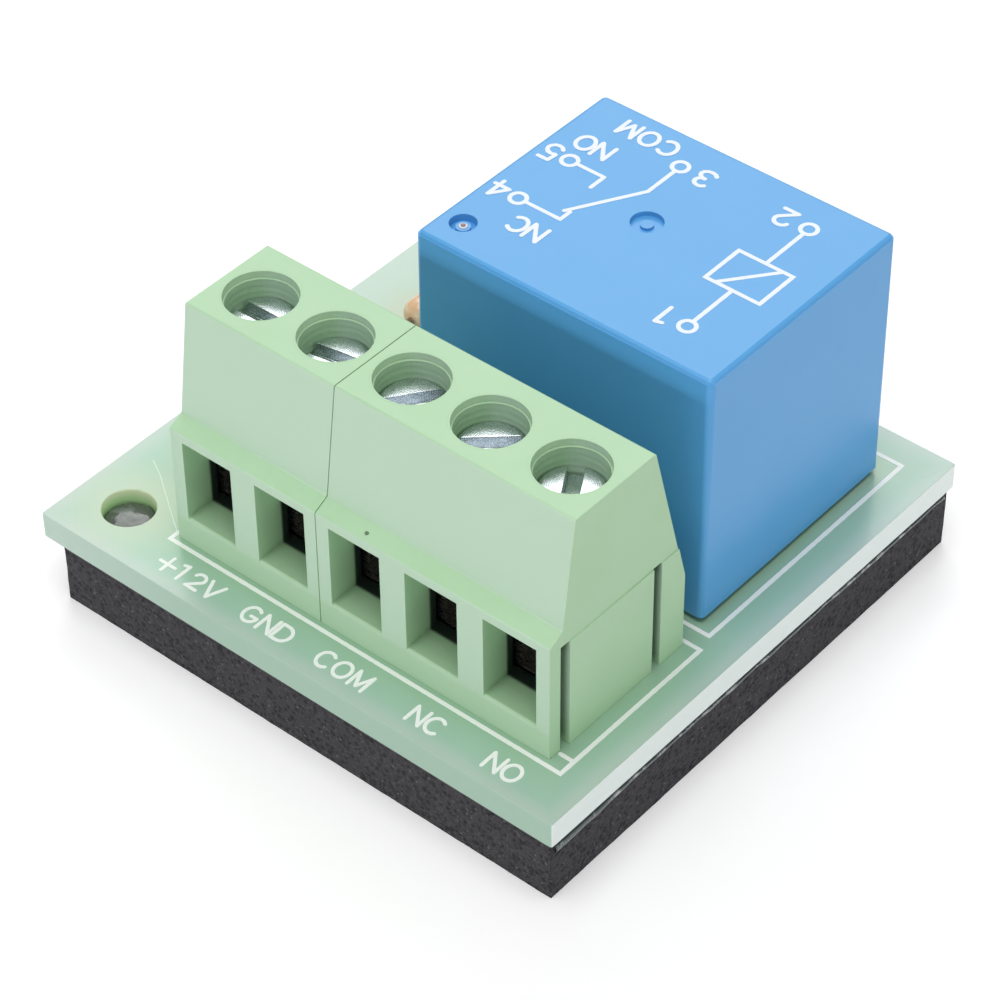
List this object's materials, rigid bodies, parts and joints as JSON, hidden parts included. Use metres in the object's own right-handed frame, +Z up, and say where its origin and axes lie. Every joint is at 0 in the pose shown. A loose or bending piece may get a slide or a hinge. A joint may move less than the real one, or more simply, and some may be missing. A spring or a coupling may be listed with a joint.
{
  "type": "relay module board",
  "caption": "Square circuit board on a foam pad with green screw terminals, a blue moulded relay and a small glass diode.",
  "frame": {"origin": "middle of the board's outline, at the underside of the foam pad", "axes": "+X along the screw terminals from supply to output, +Y from the wire side to the relay, +Z up"},
  "size_m": [0.0354, 0.0344, 0.0215],
  "materials": {
    "laminate": "pale translucent green glass-fibre laminate",
    "foam": "charcoal closed-cell foam, matt",
    "film": "clear adhesive film",
    "solder": "bright solder",
    "terminal_moulding": "pale green moulded nylon",
    "screw_steel": "zinc plated steel",
    "cage_metal": "nickel plated brass",
    "terminal_metal": "tinned copper alloy",
    "relay_case": "blue moulded case, satin",
    "relay_floor": "black moulded floor",
    "iron": "plated soft iron",
    "bobbin_plastic": "black moulded spool",
    "copper_wire": "enamelled copper wire",
    "tinned_pin": "tinned copper",
    "spring_alloy": "copper alloy leaf",
    "silver": "silver contact",
    "contact_alloy": "copper alloy strip",
    "diode_glass": "orange tinted glass"
  },
  "bodies": {
    "root": {"circuit_board": "laminate", "foam_pad": "foam", "adhesive_film": "film", "solder_joints": "solder", "terminal_housing_2way": "terminal_moulding", "terminal_housing_3way": "terminal_moulding", "relay_cover": "relay_case", "relay_base": "relay_floor", "yoke": "iron", "core": "iron", "bobbin": "bobbin_plastic", "coil_winding": "copper_wire", "coil_pin_1": "tinned_pin", "coil_pin_2": "tinned_pin", "closed_contact": "contact_alloy", "open_contact": "contact_alloy", "common_terminal": "contact_alloy", "diode_body": "diode_glass", "diode_lead_left": "tinned_pin", "diode_lead_right": "tinned_pin", "terminal_contact_1": "terminal_metal", "terminal_contact_2": "terminal_metal", "terminal_contact_3": "terminal_metal", "terminal_contact_4": "terminal_metal", "terminal_contact_5": "terminal_metal"},
    "relay_armature": {"armature": "iron", "contact_spring": "spring_alloy", "moving_contact": "silver"},
    "screw_1": {"terminal_screw_1": "screw_steel"},
    "cage_1": {"clamp_cage_1": "cage_metal"},
    "screw_2": {"terminal_screw_2": "screw_steel"},
    "cage_2": {"clamp_cage_2": "cage_metal"},
    "screw_3": {"terminal_screw_3": "screw_steel"},
    "cage_3": {"clamp_cage_3": "cage_metal"},
    "screw_4": {"terminal_screw_4": "screw_steel"},
    "cage_4": {"clamp_cage_4": "cage_metal"},
    "screw_5": {"terminal_screw_5": "screw_steel"},
    "cage_5": {"clamp_cage_5": "cage_metal"}
  },
  "joints": [
    {"name": "screw_1_turn", "type": "hinge", "parent": "root", "child": "screw_1", "pos_m": [-0.00817, -0.00906, 0.018], "axis": [0, 0, 1], "range_deg": [-1800, 0]},
    {"name": "cage_1_rise", "type": "slide", "parent": "root", "child": "cage_1", "axis": [0, 0, 1], "range_m": [0, 0.0025]},
    {"name": "screw_2_turn", "type": "hinge", "parent": "root", "child": "screw_2", "pos_m": [-0.00309, -0.00906, 0.018], "axis": [0, 0, 1], "range_deg": [-1800, 0]},
    {"name": "cage_2_rise", "type": "slide", "parent": "root", "child": "cage_2", "axis": [0, 0, 1], "range_m": [0, 0.0025]},
    {"name": "screw_3_turn", "type": "hinge", "parent": "root", "child": "screw_3", "pos_m": [0.00199, -0.00906, 0.018], "axis": [0, 0, 1], "range_deg": [-1800, 0]},
    {"name": "cage_3_rise", "type": "slide", "parent": "root", "child": "cage_3", "axis": [0, 0, 1], "range_m": [0, 0.0025]},
    {"name": "screw_4_turn", "type": "hinge", "parent": "root", "child": "screw_4", "pos_m": [0.00707, -0.00906, 0.018], "axis": [0, 0, 1], "range_deg": [-1800, 0]},
    {"name": "cage_4_rise", "type": "slide", "parent": "root", "child": "cage_4", "axis": [0, 0, 1], "range_m": [0, 0.0025]},
    {"name": "screw_5_turn", "type": "hinge", "parent": "root", "child": "screw_5", "pos_m": [0.01215, -0.00906, 0.018], "axis": [0, 0, 1], "range_deg": [-1800, 0]},
    {"name": "cage_5_rise", "type": "slide", "parent": "root", "child": "cage_5", "axis": [0, 0, 1], "range_m": [0, 0.0025]},
    {"name": "armature_tip", "type": "hinge", "parent": "root", "child": "relay_armature", "pos_m": [-0.00163, 0.00632, 0.01803], "axis": [0, 1, 0], "range_deg": [0, 2.5], "stiffness_Nm_per_rad": 0.007, "springref_deg": -17.19}
  ],
  "couplings": [
    {"joint": "screw_1_turn", "follows": "cage_1_rise", "rad_per_m": -12566},
    {"joint": "screw_2_turn", "follows": "cage_2_rise", "rad_per_m": -12566},
    {"joint": "screw_3_turn", "follows": "cage_3_rise", "rad_per_m": -12566},
    {"joint": "screw_4_turn", "follows": "cage_4_rise", "rad_per_m": -12566},
    {"joint": "screw_5_turn", "follows": "cage_5_rise", "rad_per_m": -12566}
  ]
}
